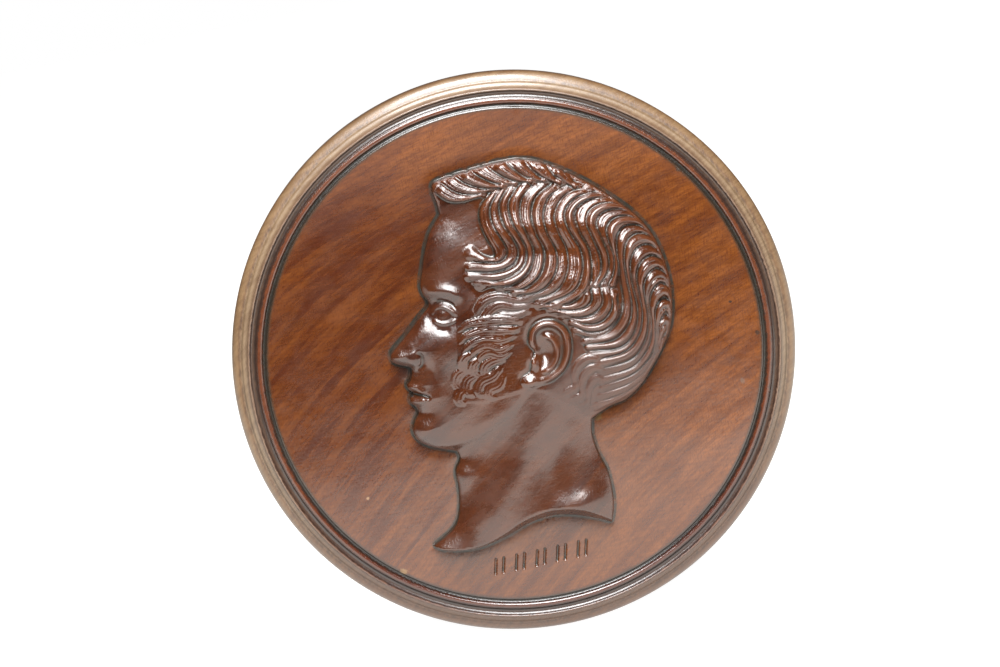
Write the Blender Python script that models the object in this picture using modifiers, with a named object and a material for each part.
# Relief roundel: a small round wooden board, turned with a moulded rim and carved with a
# head in profile. It hangs on a wall: the back is flat on the plane y = 0, the front faces
# -Y, and the origin is the middle of the back. Units are metres.
#
# The board and the carving are drawn lying flat, face up, as on a bench: X to the right,
# Y towards the top of the roundel and Z out of the board. The finished piece is turned up
# by a quarter turn about X, so that Z becomes -Y.

import bmesh
import bpy
import math
import numpy as np
from mathutils.geometry import delaunay_2d_cdt

# Board and its turned rim
BOARD_DIAMETER = 0.120
BOARD_THICKNESS = 0.0105        # flat back to the top of the thin ridge
EDGE_ROUND_WIDTH = 0.0024       # rounded outer edge, seen from the front
EDGE_ROUND_DEPTH = 0.0022       # the same round, seen from the side
EDGE_FLAT = 0.0021              # upright band at the widest place
BACK_BEVEL = 0.0008
RIDGE_INSET = 0.0036            # outer edge of the board to the ridge
RIDGE_WIDTH = 0.00035
RIDGE_DROP = 0.0019             # ridge top down to the top of the rounded edge
OUTER_GROOVE_WIDTH = 0.0015
OUTER_GROOVE_DEPTH = 0.0007
BEAD_WIDTH = 0.0011
BEAD_RISE = 0.0001              # bead top over the ridge top
INNER_GROOVE_WIDTH = 0.00105
INNER_GROOVE_DEPTH = 0.0007
FIELD_DROP = 0.0001             # field below the ridge top
TURNING_STEPS = 72

# Carved head
HEAD_HEIGHT = 0.057             # chin to crown
HEAD_LEAN = math.radians(12)    # the head leans back from upright
CHEEK_RELIEF = 0.0050           # cheek over the field
NECK_FALL = 0.0009              # how much lower the neck lies at its foot
WALL_BACK = 0.0015              # height at which the outline stands off the field
WALL_FACE = 0.0012
CARVING_PITCH = 0.00055
CARVING_FACES = 5600
CARVING_ROOT = 0.0015           # how deep the carving reaches into the board to join it

# Row of incised marks under the neck
MARKS_INSET = 0.0074            # inner groove to the foot of the marks
MARK_HEIGHT = 0.0030
MARK_PAIRS = 5
MARK_PAIR_PITCH = 0.0045
MARK_STROKE_GAP = 0.0017
MARK_WIDTH = 0.00065
MARK_DEPTH = 0.00035
MARK_SLANT = math.radians(14)
MARKS_MIDDLE = -0.0036          # middle of the row, left of the board's middle

BOARD_RADIUS = BOARD_DIAMETER / 2
RIDGE_RADIUS = BOARD_RADIUS - RIDGE_INSET
BEAD_OUTER = RIDGE_RADIUS - RIDGE_WIDTH - OUTER_GROOVE_WIDTH
BEAD_INNER = BEAD_OUTER - BEAD_WIDTH
FIELD_RADIUS = BEAD_INNER - INNER_GROOVE_WIDTH
FIELD_LEVEL = BOARD_THICKNESS - FIELD_DROP

# The head is drawn on a grid of squares, with the head 58 squares from chin to crown. The
# board's middle is the grid's zero, and the carved head looks to the left.
SQUARES_TALL = 58
SQUARE = HEAD_HEIGHT / SQUARES_TALL
CHIN = -19.0
FACE_PLANE = -19.8

# Profile of the face, in head heights: height over the chin, then reach in front of the
# plane of the face
FACE_PROFILE = (
    (0.857, -0.060), (0.79, -0.022), (0.72, -0.004), (0.65, 0.006), (0.60, 0.012),      # forehead
    (0.565, 0.004), (0.525, -0.018), (0.47, 0.022), (0.41, 0.066), (0.36, 0.108),       # bridge
    (0.335, 0.122), (0.312, 0.116), (0.300, 0.090), (0.290, 0.048), (0.268, 0.046),     # nose tip
    (0.245, 0.050), (0.228, 0.062), (0.210, 0.056), (0.194, 0.038), (0.178, 0.050),     # lips
    (0.160, 0.048), (0.140, 0.026), (0.120, 0.020), (0.095, 0.032), (0.060, 0.040),     # chin
    (0.028, 0.030), (0.004, 0.002), (-0.012, -0.040),
)
NECK_FRONT = ((-12.6, -20.6), (-12.0, -22.2), (-12.9, -25.0), (-12.2, -29), (-12.2, -34),
              (-13.5, -37.5), (-17.8, -41.4))
NECK_CUT = ((-17.8, -41.4), (-14.5, -42.4), (-8, -42), (-2, -39.5), (3, -36.6), (8, -34.9),
            (13, -34.8), (18, -35.6), (21.0, -36.4))
NECK_BACK = ((21.0, -36.4), (21.4, -32.5), (21.0, -29), (20, -25), (18, -21), (16.6, -17),
             (16.4, -13.4))
HAIR_OUTLINE = ((16.4, -13.4), (18, -12.2), (20.5, -10.6), (24, -9), (27, -6), (29.5, -2),
                (31.5, 2), (33.2, 6.5), (33.6, 11), (33, 17), (31, 23), (28.5, 27.5),
                (25, 31.2), (20, 34.8), (15, 37.8), (10, 40.2), (5, 42), (0, 42.6),
                (-5, 41.7), (-10, 40.3), (-15, 38.7), (-17.7, 37.4), (-17.9, 35.6),
                (-17.0, 33.2))
# The edge of the hair on the head, closed well outside the outline behind
HAIR_EDGE = ((-18.5, 38), (-18, 34), (-16.3, 32.6), (-12, 33.2), (-8.6, 32), (-8.2, 28),
             (-6.4, 24.8), (-8.2, 23.6), (-8.6, 21.6), (-11.2, 19.4), (-11, 16.2),
             (-8.6, 13.6), (-10.5, 10.6), (-12.8, 8), (-12.6, 2), (-13.2, -3), (-13, -8.6),
             (-9.5, -9.8), (-5, -9.4), (-1.2, -8), (1.5, -7.4), (5, -7.2), (9, -8.6),
             (13, -10.6), (16.4, -13), (25, -12), (40, 0), (40, 40), (0, 50))
JAW = ((-24, -19.2), (-17, -19.6), (-12, -18.6), (-6, -15.4), (-1, -11), (2.4, -6.6), (7, -3))

# Guides of the wavy locks, each from its root to its tip. A lock fills the space between
# two neighbouring guides.
SIDE_LOCKS = (
    ((-8.4, 34.2), (-8.2, 30.5), (-6.2, 26.5), (-4.6, 23.4), (-4.4, 21.4), (-7.5, 20.2), (-10.6, 19.2)),
    ((-5, 35.5), (-6.8, 30), (-4.5, 25), (-2.4, 21.6), (-2.6, 19.8), (-6.6, 18.2), (-10.4, 17)),
    ((0.5, 36.4), (-1.6, 31), (-0.4, 27), (2, 22.6), (1.4, 18.6), (-2.4, 16.4), (-7.4, 15.2)),
    ((5.5, 37.6), (2.2, 33), (1.5, 29), (3.2, 24), (5.3, 20), (3.6, 16), (-2.5, 13.8)),
    ((8.5, 37.4), (4.8, 32), (5, 27), (7.4, 21.6), (7.8, 17), (4, 14), (-1.5, 12.2)),
    ((14, 36), (9, 33), (8, 29), (9.5, 25), (12, 20), (11, 15.6), (5, 12.2)),
    ((17.5, 34.8), (12.2, 32.8), (10.9, 29.4), (12, 26), (15, 20.6), (15, 16), (9, 11.4)),
    ((20.5, 33.2), (14.6, 33), (12.9, 30.2), (14.2, 26), (17.6, 20.6), (18, 16), (13, 11)),
    ((23.2, 31.6), (17, 32.2), (15.6, 29), (17.3, 24), (19.6, 18.6), (20.2, 14), (17, 9.6)),
    ((25.8, 29.6), (20.4, 30.2), (18.1, 27.4), (19.5, 23), (21.6, 17.4), (21.8, 12), (19.6, 7.6)),
    ((28, 27), (23.4, 28.2), (20.6, 26), (21.3, 21), (22.8, 15), (22.8, 9.6), (19.5, 5.6)),
    ((30, 24.4), (25.4, 25.6), (22.7, 23), (23.2, 17.6), (24.4, 11.6), (22.8, 6.6), (18, 3.4)),
    ((31.6, 21.2), (27.4, 22.4), (24.7, 19.6), (25.1, 13.6), (26, 8.2), (24, 3.2), (18, 0.8)),
    ((32.9, 17.4), (29.2, 18.8), (27, 16.2), (27, 11), (27.2, 4.6), (22.4, 0), (14.6, 0.6)),
    ((33.5, 13.2), (30.8, 14.6), (28.7, 12), (29, 7), (27.6, 1.8), (21.6, -2.2), (13.6, -1.6)),
    ((33.2, 9.4), (31.6, 10.6), (30.3, 8), (29.8, 3.6), (27.2, -1.2), (20.6, -4.4), (12.2, -4.2)),
    ((32.6, 6), (31.8, 6.4), (31, 4), (29, -0.6), (26, -4), (19.6, -6.4), (11.2, -6.8)),
    ((31, 1.6), (30.2, 1.4), (29, -1.4), (26.4, -4.9), (22.4, -7.9), (17.6, -9.6), (12.6, -9.4)),
)
TOP_LOCKS = (
    ((14.6, 35.8), (13.2, 37), (11.6, 38.6), (10.8, 40)),
    ((11.5, 36.8), (9.6, 37.8), (7.6, 39.4), (6.2, 41.4)),
    ((8, 37.6), (5.6, 38.6), (3.4, 40.2), (1.6, 42.2)),
    ((5, 37.6), (2.2, 38.4), (-0.4, 39.9), (-2.6, 42)),
    ((2, 37.3), (-1, 37.9), (-4, 39.3), (-6.4, 41.2)),
    ((-1, 36.6), (-4.2, 37.1), (-7.4, 38.3), (-10, 40.2)),
    ((-4, 35.8), (-7.4, 36.1), (-10.6, 37.1), (-13.4, 39)),
    ((-6.5, 35), (-9.6, 35), (-13, 35.6), (-16.4, 37.8)),
    ((-8.6, 33.8), (-11.6, 33.5), (-14.6, 33.7), (-17.4, 35.6)),
)
EAR_LOCKS = (
    ((22, 13.4), (19.6, 9.6), (14, 8.2), (8.4, 9.4), (4.2, 11)),
    ((22.6, 10.6), (20.2, 7.6), (16.6, 6.6), (12.8, 7.6), (9.6, 9.2)),
    ((22, 8), (19.4, 5.2), (16.2, 4.4), (13.8, 4.8), (12.4, 6.4)),
    ((20, 4.8), (17.2, 3), (15, 2.6), (13.2, 2.8), (12.6, 4)),
)
TEMPLE_LOCKS = (
    ((10.5, 11.2), (4, 12.8), (-3, 12.9), (-9.4, 10.4)),
    ((7, 10.6), (2, 11.2), (-4, 11), (-10.8, 8.2)),
    ((3.4, 9.8), (0.4, 9.2), (-3.4, 8.9), (-7.6, 7)),
    ((2.2, 8.4), (-0.4, 7.2), (-2.8, 6), (-5.6, 5.4)),
)
NAPE_LOCKS = (
    ((14.4, 2.4), (13, 0), (11.4, -2.6), (9.2, -4.8)),
    ((15.6, 0.4), (13.8, -1.8), (11.8, -4.6), (9, -7)),
    ((16.6, -1.6), (14.8, -4), (12.4, -7), (10.2, -8.9)),
)
WHISKERS = (
    ((1, 8.2), (-2.4, 8.6), (-6.4, 8.4), (-10.4, 7.6), (-12.6, 6)),
    ((0.4, 6.6), (-3.2, 6.4), (-7.2, 6.4), (-10.6, 5.2), (-12.2, 3.6)),
    ((-0.4, 5.4), (-3.4, 4.4), (-6.8, 4.6), (-9.8, 3.4), (-11.6, 1.4)),
    ((-1, 3.6), (-3.6, 2.4), (-6.4, 3), (-8.8, 2), (-10, 0.2)),
    ((-1.4, 1.9), (-3.4, 1), (-5.6, 1.6), (-7.4, 0.8), (-8.4, -1)),
    ((-9.6, 1.2), (-11.2, 0.2), (-11.4, -1.8), (-9.8, -3.2)),
    ((-8, 0), (-9.2, -1.2), (-9, -3), (-7.4, -4)),
    ((-2.6, 0.2), (-5, -0.2), (-6.8, -1.6), (-6.6, -3.6), (-5.2, -4.4)),
    ((-10.4, -2.2), (-12.4, -3.4), (-12.8, -5.4), (-11.2, -6.8)),
    ((-8.4, -3.4), (-10.4, -4.6), (-10.6, -6.8), (-9, -8)),
    ((-3.4, -1.6), (-5, -3.6), (-7.4, -4.8), (-8, -7), (-6.4, -8.2)),
    ((-2.8, -3.2), (-3.8, -5.4), (-5.8, -6.4), (-5.4, -8), (-4.2, -8.2)),
    ((-10.6, -6), (-12.2, -7.4), (-12.2, -9), (-10.8, -9.8)),
)

# Soft raised lines (a hollow has a negative rise): points, half width, rise, taper
HAIR_WAVES = (
    (((-8, 29.5), (-1, 31.5), (6, 31.6), (12, 31), (18, 29), (23, 25.6), (27.5, 20), (30.8, 13)),
     2.3, 0.50, 0.12),
    (((-4, 24.6), (2, 25), (8, 25.4), (13, 24.8), (18, 22.4), (22.6, 17.6), (25.6, 11)),
     2.0, -0.45, 0.12),
    (((-9, 18), (-1, 18.2), (5, 18.6), (11, 18), (17, 15.6), (22, 10.6), (25.4, 4.4)),
     2.2, 0.40, 0.12),
)
FACE_LINES = (
    (((8, -9), (4, -17), (-1, -26), (-7, -36), (-12, -40)), 3.6, 0.55, 0.25),       # neck muscle
    (((13, -12), (13.5, -20), (15, -29), (16, -35)), 3.2, 0.30, 0.25),              # back of neck
    (((10.5, -14), (8.5, -22), (8.6, -30), (9.5, -34)), 2.4, -0.35, 0.25),          # hollow of neck
    (((-17, -17.6), (-11, -16.4), (-5, -13.2), (-0.8, -9)), 2.0, 0.30, 0.25),       # jaw
    (((-19.6, 13.4), (-17, 14.5), (-13.8, 14.4), (-10.9, 12.4)), 1.15, 0.62, 0.3),  # brow
    (((-18.1, 9.2), (-17.3, 10.9), (-15.6, 11.3), (-13.8, 10.5), (-12.6, 9.2)), 0.42, 0.50, 0.16),
    (((-17.6, 12), (-16.2, 12.5), (-14.2, 12.1), (-12.6, 10.9)), 0.40, -0.36, 0.25),
    (((-17.9, 8.9), (-16.9, 8), (-15.3, 7.7), (-13.6, 8.2), (-12.7, 9)), 0.40, 0.36, 0.2),
    (((-17.2, 6.7), (-15.6, 6.1), (-13.8, 6.4)), 0.55, -0.18, 0.3),
    (((-19, 9.6), (-21.2, 5.4), (-23.8, 1.6)), 1.3, 0.30, 0.2),                     # nose bone
    (((-21.6, 1.7), (-20.2, 0.6), (-20.1, -1.2), (-21.2, -2.4)), 0.5, -0.50, 0.25),
    (((-19.6, 0.4), (-18.2, -2.4), (-17.2, -5.6), (-17.2, -8.2)), 0.9, -0.22, 0.4),
    (((-23.4, -6), (-21.4, -6.6), (-19.2, -7.6)), 0.75, 0.42, 0.25),                # upper lip
    (((-22.8, -9.4), (-21, -9.5), (-19, -8.7)), 0.85, 0.46, 0.25),                  # lower lip
    (((-23.2, -7.9), (-21.4, -7.8), (-19.6, -8), (-18.2, -8.5)), 0.36, -0.72, 0.12),
)
# Soft swellings: middle, half widths, rise, turn in degrees
FACE_SWELLINGS = (
    ((10, 22), (17, 15), 0.50, 0),              # skull over the ear
    ((-11.4, -26), (1.9, 2.6), 0.35, 0),        # throat
    ((-12.4, 2.6), (4.6, 3.0), 0.55, 20),       # cheekbone
    ((-12.6, -6.6), (4.0, 4.4), -0.35, 0),      # hollow of the cheek
    ((-8.6, 15.4), (3.4, 3.6), -0.45, 0),       # temple
    ((-13.6, 24), (4.2, 5.0), 0.20, 0),         # forehead
    ((-16.0, 9.6), (3.3, 2.9), -1.05, 0),       # eye socket
    ((-16.0, 9.7), (1.9, 1.75), 0.95, 0),       # eye
    ((-22.3, -0.7), (1.75, 1.65), 0.95, 0),     # wing of the nose
    ((-23.8, -2.3), (0.85, 0.45), -0.80, 10),   # nostril
    ((-25.2, 0.4), (1.4, 1.3), 0.35, 0),        # nose tip
    ((-21.0, -12), (2.2, 1.0), -0.35, 0),       # under the lip
    ((-20.0, -15.6), (2.8, 2.6), 0.50, 0),      # chin
)
EAR_RIM = ((4, 1.6), (2.7, 3.4), (3, 6.2), (5, 8.2), (8, 8.4), (10.9, 6.2), (11.7, 2.2),
           (10.6, -1.6), (8.2, -4.2), (5.2, -5.6), (3, -6.3), (1.2, -5.4), (1.3, -4),
           (3, -2.6), (3.3, -0.6))
EAR_FLOOR = 5.25
EAR_LINES = (
    (((4.9, 1.9), (3.4, 3.4), (3.5, 6), (5.4, 7.6), (8, 7.7), (10.2, 5.8), (10.9, 2.2),
      (9.9, -1.4), (7.7, -3.6), (5, -4.9)), 0.72, 1.15, 0.12),
    (((5.6, 5.4), (7.6, 4.4), (8.6, 2.4), (8.4, 0), (7.2, -1.9), (5.2, -2.9)), 0.62, 0.75, 0.15),
)
EAR_SWELLINGS = (
    ((5.9, 1.2), (1.7, 2.3), -1.25, 15),        # bowl of the ear
    ((3.7, -0.7), (0.8, 1.3), 0.75, 20),
    ((3.0, -4.9), (1.6, 1.1), 0.75, 15),        # lobe
)


def smooth_curve(points, per_span=8, closed=False):
    """A smooth curve through the points."""
    p = np.asarray(points, float)
    if closed:
        extended = np.vstack([p[-1:], p, p[:2]])
    else:
        extended = np.vstack([2 * p[0] - p[1], p, 2 * p[-1] - p[-2]])
    t = np.linspace(0, 1, per_span, endpoint=False)[:, None]
    spans = []
    for a, b, c, d in zip(extended, extended[1:], extended[2:], extended[3:]):
        spans.append(0.5 * (2 * b + (c - a) * t + (2 * a - 5 * b + 4 * c - d) * t**2
                            + (3 * b - 3 * c + d - a) * t**3))
    if not closed:
        spans.append(p[-1:])
    return np.vstack(spans)


def even_points(path, count):
    """The path as so many points, evenly spaced."""
    run = np.concatenate([[0], np.cumsum(np.hypot(*np.diff(path, axis=0).T))])
    want = np.linspace(0, run[-1], count)
    return np.column_stack([np.interp(want, run, path[:, k]) for k in (0, 1)])


def nearest_on(path, x, y):
    """Distance from each place to the path, and how far along the path that is, 0 to 1."""
    best = np.full(x.shape, np.inf)
    along = np.zeros(x.shape)
    steps = np.hypot(*np.diff(path, axis=0).T)
    run = np.concatenate([[0], np.cumsum(steps)])
    for start, end, before, step in zip(path, path[1:], run, steps):
        dx, dy = end - start
        t = np.clip(((x - start[0]) * dx + (y - start[1]) * dy) / (step**2 + 1e-12), 0, 1)
        gap = (x - start[0] - t * dx) ** 2 + (y - start[1] - t * dy) ** 2
        closer = gap < best
        best = np.where(closer, gap, best)
        along = np.where(closer, (before + t * step) / run[-1], along)
    return np.sqrt(best), along


def is_inside(ring, x, y):
    """Which places lie inside the closed ring of points."""
    found = np.zeros(x.shape, bool)
    for (ax, ay), (bx, by) in zip(ring, np.roll(ring, -1, axis=0)):
        if ay != by:
            found ^= ((ay > y) != (by > y)) & (x < (bx - ax) * (y - ay) / (by - ay) + ax)
    return found


def ease(value, low, high):
    """0 below low, 1 above high, and smooth between."""
    t = np.clip((value - low) / (high - low), 0, 1)
    return t * t * (3 - 2 * t)


def near(path, x, y, reach):
    """Which places lie in the path's own box, widened by reach."""
    low, high = path.min(axis=0) - reach, path.max(axis=0) + reach
    return (x > low[0]) & (x < high[0]) & (y > low[1]) & (y < high[1])


def soft_line(x, y, points, width, rise, taper):
    """A soft ridge or furrow that fades towards its ends."""
    path = smooth_curve(points, 6)
    close = near(path, x, y, 2.6 * width)
    out = np.zeros(x.shape)
    gap, along = nearest_on(path, x[close], y[close])
    ends = ease(along, -0.02, taper) * ease(1 - along, -0.02, taper)
    out[close] = rise * ends * np.exp(-((gap / width) ** 2))
    return out


def swelling(x, y, middle, widths, rise, turn):
    """A soft round rise or hollow."""
    angle = math.radians(turn)
    dx, dy = x - middle[0], y - middle[1]
    u = dx * math.cos(angle) + dy * math.sin(angle)
    v = dy * math.cos(angle) - dx * math.sin(angle)
    return rise * np.exp(-((u / widths[0]) ** 2) - (v / widths[1]) ** 2)


def locks_between(guides, rise=0.75, swell=0.3):
    """One rounded lock between each two neighbouring guides: (path, half widths, rise)."""
    curves = [even_points(smooth_curve(guide), 22) for guide in guides]
    locks = []
    for number, (first, second) in enumerate(zip(curves, curves[1:])):
        half = np.hypot(*(second - first).T) * 0.56
        tall = rise * (1 + 0.18 * math.sin(2.7 * number)) + swell
        locks.append(((first + second) / 2, np.clip(half, 0.16, 1.6), tall))
    return locks


def whisker_curls():
    """Comma curls, fat in the middle and pointed at the tip."""
    curls = []
    for points in WHISKERS:
        path = even_points(smooth_curve(points), 16)
        along = np.linspace(0.1, 1, len(path))
        curls.append((path, 0.15 + 0.9 * np.sin(np.pi * np.clip(along, 0, 0.97)) ** 0.7, 0.75))
    return curls


def lay_locks(locks, x, y):
    """The highest of the rounded locks at each place."""
    out = np.zeros(x.shape)
    for path, half, rise in locks:
        close = near(path, x, y, half.max())
        gap, along = nearest_on(path, x[close], y[close])
        width = np.interp(along, np.linspace(0, 1, len(half)), half)
        ends = ease(along, -0.05, 0.12) * (1 - 0.7 * ease(along, 0.86, 1.02))
        body = np.sqrt(np.clip(1 - (gap / width) ** 2, 0, None))
        out[close] = np.maximum(out[close], rise * np.clip(width, 0.4, 1.2) * ends * body)
    return out


def face_curve():
    return smooth_curve([(FACE_PLANE - reach * SQUARES_TALL, CHIN + up * SQUARES_TALL)
                         for up, reach in FACE_PROFILE], 5)


def head_outline():
    """The outline of the head and neck, as a ring of points in squares."""
    parts = [face_curve()]
    parts += [smooth_curve(p, 4) for p in (NECK_FRONT, NECK_CUT, NECK_BACK, HAIR_OUTLINE)]
    return np.vstack([part[:-1] for part in parts])


def rounded_mass(x, y):
    """The head and neck as a rounded mass, without features, in squares over the field."""
    rim = np.vstack([smooth_curve(NECK_BACK, 4), smooth_curve(HAIR_OUTLINE, 4), face_curve(),
                     smooth_curve(NECK_FRONT, 4)])
    inward, _ = nearest_on(rim, x, y)
    face_side = 1 - ease(x, -16, -2)
    reach = 15 - 6 * face_side
    wall = (WALL_BACK + (WALL_FACE - WALL_BACK) * face_side) / SQUARE
    top = (CHEEK_RELIEF - NECK_FALL * ease(-y, 6, 24)) / SQUARE
    dome = np.sqrt(1 - (1 - np.clip(inward / reach, 0, 1)) ** 2.2)
    jaw = smooth_curve(JAW, 10)
    under_jaw = ease(np.interp(x, jaw[:, 0], jaw[:, 1]) - y, -0.6, 1.8) * ease(16.5 - x, -3, 6)
    return wall + (top - wall) * dome - 0.75 * under_jaw * ease(8 - x, 0, 14), inward


def carved_height(x, y):
    """The height of the carving over the field, in squares."""
    height, inward = rounded_mass(x, y)
    for line in FACE_LINES:
        height += soft_line(x, y, *line)
    for swell in FACE_SWELLINGS:
        height += swelling(x, y, *swell)
    hair_ring = smooth_curve(HAIR_EDGE, 4, closed=True)
    from_edge, _ = nearest_on(np.vstack([hair_ring, hair_ring[:1]]), x, y)
    hair = np.where(is_inside(hair_ring, x, y), ease(from_edge, 0, 1), 0)
    height += hair * (0.3 + sum(soft_line(x, y, *wave) for wave in HAIR_WAVES))
    locks = locks_between(SIDE_LOCKS, swell=0.5) + locks_between(TOP_LOCKS)
    locks += locks_between(EAR_LOCKS) + locks_between(TEMPLE_LOCKS, rise=0.6)
    locks += locks_between(NAPE_LOCKS, rise=0.6) + whisker_curls()
    height += lay_locks(locks, x, y) * np.clip(inward / 0.5, 0.3, 1)
    ear_ring = smooth_curve(EAR_RIM, 6, closed=True)
    from_ear, _ = nearest_on(np.vstack([ear_ring, ear_ring[:1]]), x, y)
    in_ear = is_inside(ear_ring, x, y)
    ear = np.where(in_ear, ease(from_ear, 0, 0.8), 0)
    height = height * (1 - ear) + EAR_FLOOR * ear
    height -= np.where(in_ear, 0, 0.55 * np.exp(-((from_ear / 0.7) ** 2))) * ease(y, -8, 0)
    for line in EAR_LINES:
        height += soft_line(x, y, *line)
    for swell in EAR_SWELLINGS:
        height += swelling(x, y, *swell)
    # the neck is cut off with a bevel that widens towards the back
    to_cut, _ = nearest_on(smooth_curve(NECK_CUT, 5), x, y)
    bevel = np.interp(x, (-18, -12, -5, 0, 8, 20), (0.5, 0.8, 1.4, 1.9, 2.1, 1.9))
    return np.minimum(height, 0.5 + 4.2 * to_cut / bevel)


def link(obj, collection):
    collection.objects.link(obj)
    return obj


def mesh_object(name, vertices, edges, faces, collection):
    mesh = bpy.data.meshes.new(name)
    mesh.from_pydata(vertices, edges, faces)
    mesh.validate()
    return link(bpy.data.objects.new(name, mesh), collection)


def rim_profile():
    """Half section of the board from the middle of its face, over the rim, to the back."""
    ridge = BOARD_THICKNESS
    bead_middle = (BEAD_OUTER + BEAD_INNER) / 2
    groove_middle = (RIDGE_RADIUS - RIDGE_WIDTH + BEAD_OUTER) / 2
    points = [(0, FIELD_LEVEL), (FIELD_RADIUS, FIELD_LEVEL)]
    points += [(BEAD_INNER - INNER_GROOVE_WIDTH * 0.4, ridge - INNER_GROOVE_DEPTH)]
    for turn in (150, 90, 30):
        angle = math.radians(turn)
        points.append((bead_middle + BEAD_WIDTH / 2 * math.cos(angle),
                       ridge + BEAD_RISE - BEAD_WIDTH / 3 * (1 - math.sin(angle))))
    points += [(groove_middle, ridge - OUTER_GROOVE_DEPTH),
               (RIDGE_RADIUS - RIDGE_WIDTH, ridge), (RIDGE_RADIUS, ridge)]
    edge_middle = BOARD_RADIUS - EDGE_ROUND_WIDTH
    edge_top = ridge - RIDGE_DROP
    points.append(((RIDGE_RADIUS + edge_middle) / 2 - RIDGE_WIDTH / 2, ridge - RIDGE_DROP * 0.8))
    for turn in (90, 60, 35, 15, 0):
        angle = math.radians(turn)
        points.append((edge_middle + EDGE_ROUND_WIDTH * math.cos(angle),
                       edge_top - EDGE_ROUND_DEPTH * (1 - math.sin(angle))))
    points += [(BOARD_RADIUS, edge_top - EDGE_ROUND_DEPTH - EDGE_FLAT),
               (BOARD_RADIUS - BACK_BEVEL / 2, BACK_BEVEL), (BOARD_RADIUS - BACK_BEVEL * 1.5, 0), (0, 0)]
    return points


def turned_board(collection):
    """The board with its moulded rim, turned about its own axis."""
    profile = rim_profile()
    vertices = [(radius, 0, level) for radius, level in profile]
    edges = [(i, i + 1) for i in range(len(profile) - 1)]
    board = mesh_object("roundel", vertices, edges, [], collection)
    turning = board.modifiers.new("Turning", "SCREW")
    turning.axis = "Z"
    turning.angle = math.tau
    turning.steps = TURNING_STEPS
    turning.render_steps = TURNING_STEPS
    turning.use_merge_vertices = True
    turning.merge_threshold = 0.00001
    return board


def on_board(points):
    """Places on the grid of squares, leaned back and in metres."""
    x, y = np.asarray(points).T * SQUARE
    cos, sin = math.cos(HEAD_LEAN), math.sin(HEAD_LEAN)
    return x * cos + y * sin, y * cos - x * sin


def carving_sheet(collection):
    """The carved surface as an open sheet over the outline of the head and neck."""
    ring = head_outline()
    length = np.hypot(*np.diff(np.vstack([ring, ring[:1]]), axis=0).T).sum()
    pitch = CARVING_PITCH / SQUARE
    ring = even_points(np.vstack([ring, ring[:1]]), int(length / pitch / 1.5))[:-1]
    low, high = ring.min(axis=0), ring.max(axis=0)
    x, y = np.meshgrid(np.arange(low[0], high[0], pitch), np.arange(low[1], high[1], pitch))
    x[1::2] += pitch / 2
    x, y = x.ravel(), y.ravel()
    to_ring, _ = nearest_on(np.vstack([ring, ring[:1]]), x, y)
    kept = is_inside(ring, x, y) & (to_ring > 0.6 * pitch)
    flat = np.vstack([ring, np.column_stack([x[kept], y[kept]])])
    border = [(i, (i + 1) % len(ring)) for i in range(len(ring))]
    drawn = delaunay_2d_cdt([tuple(p) for p in flat], border, [], 1, 1e-6)
    flat = np.array([tuple(p) for p in drawn[0]])
    height = carved_height(flat[:, 0], flat[:, 1]) * SQUARE
    board_x, board_y = on_board(flat)
    vertices = np.column_stack([board_x, board_y, FIELD_LEVEL + height])
    sheet = mesh_object("carving sheet", vertices.tolist(), [], drawn[2], collection)
    thinning = sheet.modifiers.new("Thinning", "DECIMATE")
    thinning.ratio = min(1.0, CARVING_FACES / len(drawn[2]))
    return sheet


def carving_block(collection):
    """The carved surface closed down to a flat underside inside the board."""
    sheet = carving_sheet(collection)
    bpy.context.view_layer.update()
    evaluated = sheet.evaluated_get(bpy.context.evaluated_depsgraph_get())
    mesh = bpy.data.meshes.new_from_object(evaluated)
    bpy.data.objects.remove(sheet)
    mesh.name = "carving block"
    shape = bmesh.new()
    shape.from_mesh(mesh)
    border = [edge for edge in shape.edges if edge.is_boundary]
    made = bmesh.ops.extrude_edge_only(shape, edges=border)["geom"]
    for vertex in made:
        if isinstance(vertex, bmesh.types.BMVert):
            vertex.co.z = FIELD_LEVEL - CARVING_ROOT
    underside = [edge for edge in made if isinstance(edge, bmesh.types.BMEdge)]
    bmesh.ops.contextual_create(shape, geom=underside)
    bmesh.ops.recalc_face_normals(shape, faces=shape.faces)
    shape.to_mesh(mesh)
    shape.free()
    return link(bpy.data.objects.new("carving block", mesh), collection)


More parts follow.
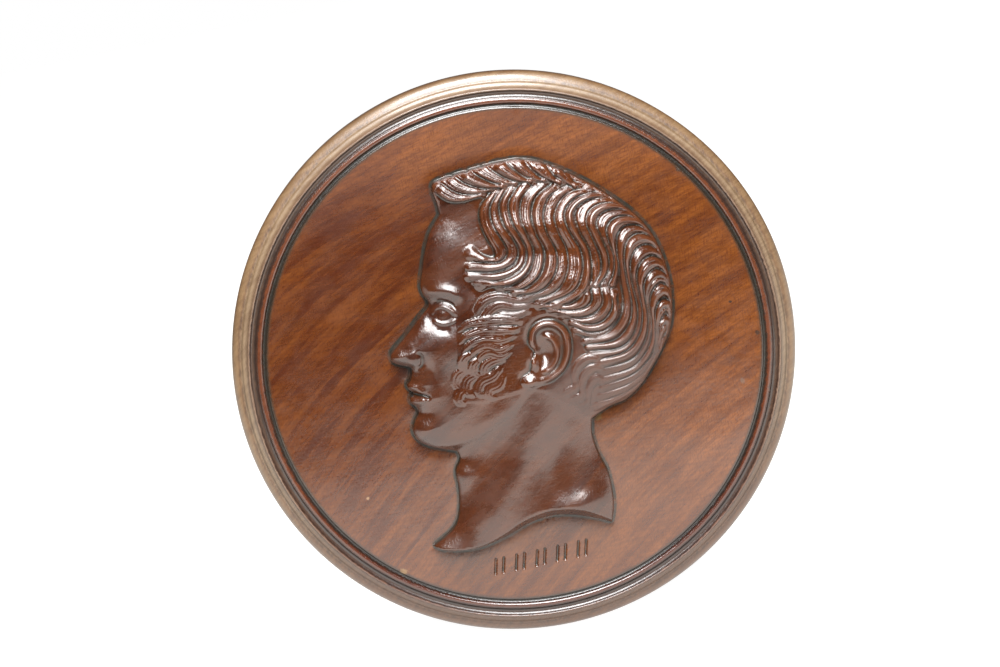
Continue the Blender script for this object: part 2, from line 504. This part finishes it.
def wedge(shape, foot, top):
    """One incised stroke: a long wedge, deepest along its middle."""
    run = top - foot
    across = np.array((-run[1], run[0])) / np.hypot(*run) * MARK_WIDTH / 2
    surface = FIELD_LEVEL + MARK_DEPTH
    ring = []
    for place in (foot, top):
        for side in (-2, 2):
            ring.append(shape.verts.new((*(place + side * across), surface)))
        ring.append(shape.verts.new((*place, FIELD_LEVEL - MARK_DEPTH)))
    a, b, c, d, e, f = ring
    for corners in ((a, b, c), (e, d, f), (a, d, e, b), (b, e, f, c), (c, f, d, a)):
        shape.faces.new(corners)


def marks_cutter(collection):
    """A row of pairs of slanting strokes."""
    shape = bmesh.new()
    foot_level = -(FIELD_RADIUS - MARKS_INSET)
    slant = math.tan(MARK_SLANT) * MARK_HEIGHT
    for pair in range(MARK_PAIRS):
        middle = MARKS_MIDDLE + (pair - (MARK_PAIRS - 1) / 2) * MARK_PAIR_PITCH
        for side in (-0.5, 0.5):
            foot = np.array((middle + side * MARK_STROKE_GAP - slant / 2, foot_level))
            wedge(shape, foot, foot + np.array((slant, MARK_HEIGHT)))
    bmesh.ops.recalc_face_normals(shape, faces=shape.faces)
    mesh = bpy.data.meshes.new("marks")
    shape.to_mesh(mesh)
    shape.free()
    return link(bpy.data.objects.new("marks", mesh), collection)


def polished_mahogany():
    material = bpy.data.materials.new("polished mahogany")
    material.use_nodes = True
    shader = material.node_tree.nodes["Principled BSDF"]
    shader.inputs["Base Color"].default_value = (0.23, 0.075, 0.028, 1)
    shader.inputs["Metallic"].default_value = 0
    shader.inputs["Roughness"].default_value = 0.28
    return material


def combine(board, other, operation):
    """Joins a helper to the board or cuts it out, and keeps the helper out of sight."""
    modifier = board.modifiers.new(other.name, "BOOLEAN")
    modifier.operation = operation
    modifier.solver = "EXACT"
    modifier.object = other
    other.hide_render = True
    other.display_type = "WIRE"


def main():
    for obj in list(bpy.data.objects):
        bpy.data.objects.remove(obj)
    parts = bpy.data.collections.new("relief roundel")
    helpers = bpy.data.collections.new("carving helpers")
    for collection in (parts, helpers):
        bpy.context.scene.collection.children.link(collection)
    board = turned_board(parts)
    carving = carving_block(helpers)
    marks = marks_cutter(helpers)
    combine(board, carving, "UNION")
    combine(board, marks, "DIFFERENCE")
    for obj in (board, carving, marks):
        obj.rotation_euler = (math.pi / 2, 0, 0)
    board.data.materials.append(polished_mahogany())
    board.data.shade_smooth()


main()
